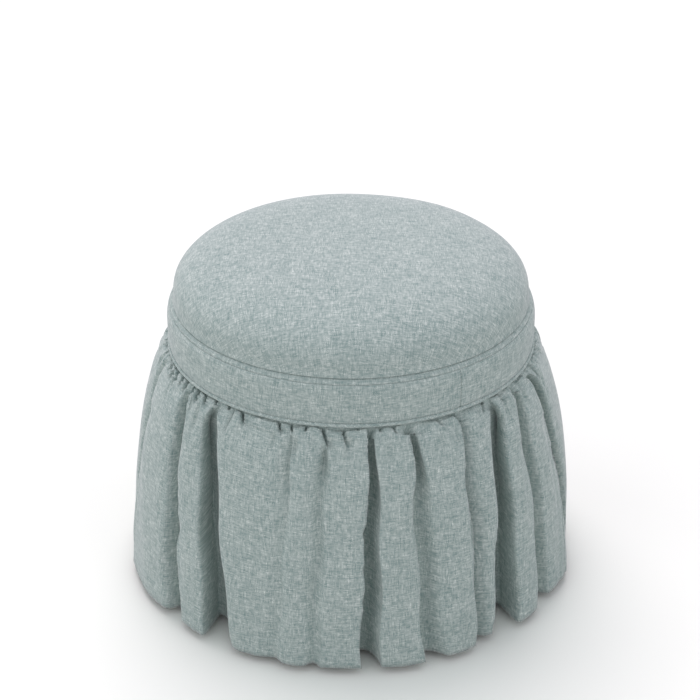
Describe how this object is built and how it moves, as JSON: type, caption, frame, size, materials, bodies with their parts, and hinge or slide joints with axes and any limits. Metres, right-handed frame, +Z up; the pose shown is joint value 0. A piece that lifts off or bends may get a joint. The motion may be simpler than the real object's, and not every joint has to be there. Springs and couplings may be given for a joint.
{
  "type": "storage ottoman",
  "caption": "Round skirted storage ottoman: a domed cushion lid lifts off a lined drum covered with a plain padded band, a welt and a gathered floor-length skirt.",
  "frame": {"origin": "centre of the footprint on the floor, under the glides", "axes": "+Z up, -Y towards the front as pictured, +X to the right"},
  "size_m": [0.606, 0.6057, 0.4569],
  "materials": {
    "linen": "grey-green linen-look plain weave",
    "wadding": "white polyester wadding",
    "foam": "cream upholstery foam",
    "plywood": "raw plywood",
    "timber": "raw softwood",
    "lining_cloth": "plain cotton lining",
    "lining_board": "lining cloth on stiff board",
    "dust_cloth": "black cambric",
    "dark_wood": "dark stained wood",
    "steel": "zinc-plated steel",
    "glide_plastic": "moulded glide"
  },
  "bodies": {
    "base": {"rim_facing": "linen", "band_cover": "linen", "welt": "linen", "skirt": "linen", "band_padding": "wadding", "drum_shell": "plywood", "top_hoop": "plywood", "base_panel": "plywood", "lining_wall": "lining_board", "lining_floor": "lining_board", "base_dust_cover": "dust_cloth", "post_1": "timber", "hoop_screw_1": "steel", "post_2": "timber", "hoop_screw_2": "steel", "post_3": "timber", "hoop_screw_3": "steel", "post_4": "timber", "hoop_screw_4": "steel", "post_5": "timber", "hoop_screw_5": "steel", "post_6": "timber", "hoop_screw_6": "steel", "foot_1": "dark_wood", "foot_bolt_1": "steel", "foot_glide_1": "glide_plastic", "foot_2": "dark_wood", "foot_bolt_2": "steel", "foot_glide_2": "glide_plastic", "foot_3": "dark_wood", "foot_bolt_3": "steel", "foot_glide_3": "glide_plastic", "foot_4": "dark_wood", "foot_bolt_4": "steel", "foot_glide_4": "glide_plastic"},
    "lid": {"lid_cover": "linen", "lid_batting": "wadding", "lid_foam": "foam", "lid_board": "plywood", "lid_underside_lining": "lining_cloth", "lid_cleat_1": "timber", "lid_cleat_2": "timber", "lid_cleat_3": "timber", "lid_cleat_4": "timber", "lid_cleat_screw_1": "steel", "lid_cleat_screw_2": "steel", "lid_cleat_screw_3": "steel", "lid_cleat_screw_4": "steel", "lid_cleat_screw_5": "steel", "lid_cleat_screw_6": "steel", "lid_cleat_screw_7": "steel", "lid_cleat_screw_8": "steel"}
  },
  "joints": [
    {"name": "lid_lift", "type": "slide", "parent": "base", "child": "lid", "axis": [0, 0, 1], "range_m": [0, 0.4]}
  ]
}
